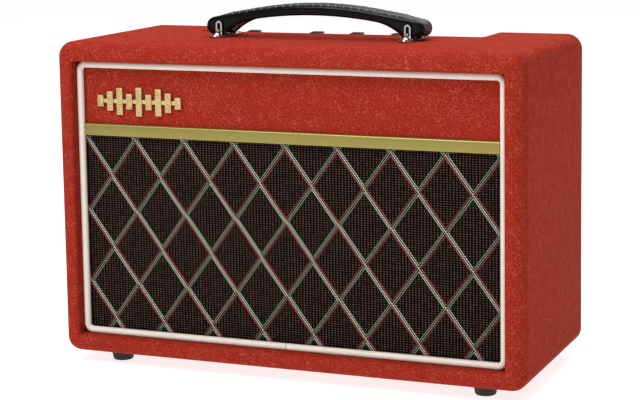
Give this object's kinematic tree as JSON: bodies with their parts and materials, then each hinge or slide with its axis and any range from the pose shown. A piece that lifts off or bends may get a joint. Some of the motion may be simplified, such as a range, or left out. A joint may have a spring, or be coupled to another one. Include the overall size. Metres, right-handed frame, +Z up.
{
  "type": "guitar amplifier",
  "caption": "Small combo guitar amplifier: vinyl-covered box cabinet with a woven grille over one speaker, a recessed top control panel and a lifting strap handle.",
  "frame": {"origin": "on the floor, under the middle of the whole amplifier", "axes": "+Z up, front and grille face -Y, +X to the right as seen from the front"},
  "size_m": [0.38, 0.162, 0.2838],
  "materials": {
    "red_vinyl": "grained vinyl covering",
    "birch_board": "raw board",
    "grille_weave": "woven cloth",
    "gold_trim": "gold anodised, satin",
    "gold_badge": "metallised, ribbed",
    "cream_piping": "soft satin",
    "black_rubber": "moulded",
    "zinc_screw": "zinc plated",
    "chrome_steel": "bright chrome",
    "nickel_nut": "nickel plated",
    "galvanised_sheet": "galvanised",
    "black_panel": "satin black enamel",
    "green_board": "solder mask",
    "brass_pillar": "plated brass",
    "dark_aluminium": "black anodised",
    "black_epoxy": "moulded",
    "capacitor_sleeve": "shrink sleeve",
    "core_steel": "varnished laminations",
    "winding_tape": "polyester tape",
    "black_plastic": "moulded",
    "knob_plastic": "moulded phenolic look",
    "button_plastic": "moulded",
    "led_red": "tinted clear",
    "basket_paint": "black enamel",
    "gasket_cork": "cork board",
    "surround_rubber": "moulded",
    "spider_cloth": "resin-dipped cotton",
    "magnet_ferrite": "sintered ferrite",
    "phenolic_strip": "laminate",
    "lead_insulation": "sleeved wire",
    "paper_cone": "pressed paper",
    "coil_copper": "enamelled copper",
    "grip_plastic": "moulded",
    "inlay_leatherette": "grained leather-look"
  },
  "bodies": {
    "cabinet": {"cabinet_shell": "red_vinyl", "front_baffle": "birch_board", "baffle_battens": "birch_board", "name_panel": "red_vinyl", "grille_cloth": "grille_weave", "trim_strip": "gold_trim", "badge": "gold_badge", "piping": "cream_piping", "rubber_feet": "black_rubber", "foot_screws": "zinc_screw", "back_battens": "birch_board", "back_panel": "red_vinyl", "back_panel_screws": "zinc_screw", "chassis": "galvanised_sheet", "control_panel": "black_panel", "circuit_board": "green_board", "board_standoffs": "brass_pillar", "heat_sink": "dark_aluminium", "amplifier_chip": "black_epoxy", "main_capacitors": "capacitor_sleeve", "transformer_core": "core_steel", "transformer_coil": "winding_tape", "mains_inlet": "black_plastic", "pots": "galvanised_sheet", "pot_nuts": "nickel_nut", "input_jack": "black_plastic", "phones_jack": "black_plastic", "jack_nuts": "nickel_nut", "overdrive_switch": "black_plastic", "power_switch_housing": "black_plastic", "led_bezel": "nickel_nut", "power_led": "led_red", "speaker_frame": "basket_paint", "speaker_gasket": "gasket_cork", "speaker_surround": "surround_rubber", "speaker_spider": "spider_cloth", "speaker_top_plate": "zinc_screw", "speaker_magnet": "magnet_ferrite", "speaker_yoke": "zinc_screw", "speaker_terminals": "phenolic_strip", "speaker_bolts": "zinc_screw", "speaker_leads": "lead_insulation", "handle_brackets": "chrome_steel", "bracket_screws": "chrome_steel"},
    "gain_dial": {"gain_shaft": "galvanised_sheet", "gain_knob": "knob_plastic"},
    "treble_dial": {"treble_shaft": "galvanised_sheet", "treble_knob": "knob_plastic"},
    "bass_dial": {"bass_shaft": "galvanised_sheet", "bass_knob": "knob_plastic"},
    "volume_dial": {"volume_shaft": "galvanised_sheet", "volume_knob": "knob_plastic"},
    "overdrive_plunger": {"overdrive_button": "button_plastic"},
    "power_lever": {"power_rocker": "black_plastic"},
    "speaker_motor": {"speaker_cone": "paper_cone", "dust_cap": "paper_cone", "voice_coil": "coil_copper"},
    "carry_handle": {"handle_grip": "grip_plastic", "handle_inlay": "inlay_leatherette", "handle_pins": "chrome_steel"}
  },
  "joints": [
    {"name": "gain_turn", "type": "hinge", "parent": "cabinet", "child": "gain_dial", "pos_m": [-0.083, 0.056, 0.2415], "axis": [0, 0, -1], "range_deg": [-60, 240]},
    {"name": "treble_turn", "type": "hinge", "parent": "cabinet", "child": "treble_dial", "pos_m": [-0.027, 0.056, 0.2415], "axis": [0, 0, -1], "range_deg": [-60, 240]},
    {"name": "bass_turn", "type": "hinge", "parent": "cabinet", "child": "bass_dial", "pos_m": [0.008, 0.056, 0.2415], "axis": [0, 0, -1], "range_deg": [-60, 240]},
    {"name": "volume_turn", "type": "hinge", "parent": "cabinet", "child": "volume_dial", "pos_m": [0.043, 0.056, 0.2415], "axis": [0, 0, -1], "range_deg": [-60, 240]},
    {"name": "overdrive_press", "type": "slide", "parent": "cabinet", "child": "overdrive_plunger", "axis": [0, 0, -1], "range_m": [0, 0.0025], "stiffness_N_per_m": 300},
    {"name": "power_rock", "type": "hinge", "parent": "cabinet", "child": "power_lever", "pos_m": [0.106, 0.056, 0.2423], "axis": [1, 0, 0], "range_deg": [-16, 0]},
    {"name": "handle_lift", "type": "slide", "parent": "cabinet", "child": "carry_handle", "axis": [0, 0, 1], "range_m": [0, 0.005]},
    {"name": "cone_travel", "type": "slide", "parent": "cabinet", "child": "speaker_motor", "axis": [0, 1, 0], "range_m": [-0.0025, 0.0025], "stiffness_N_per_m": 2000, "deforming": ["speaker_surround", "speaker_spider"]}
  ]
}
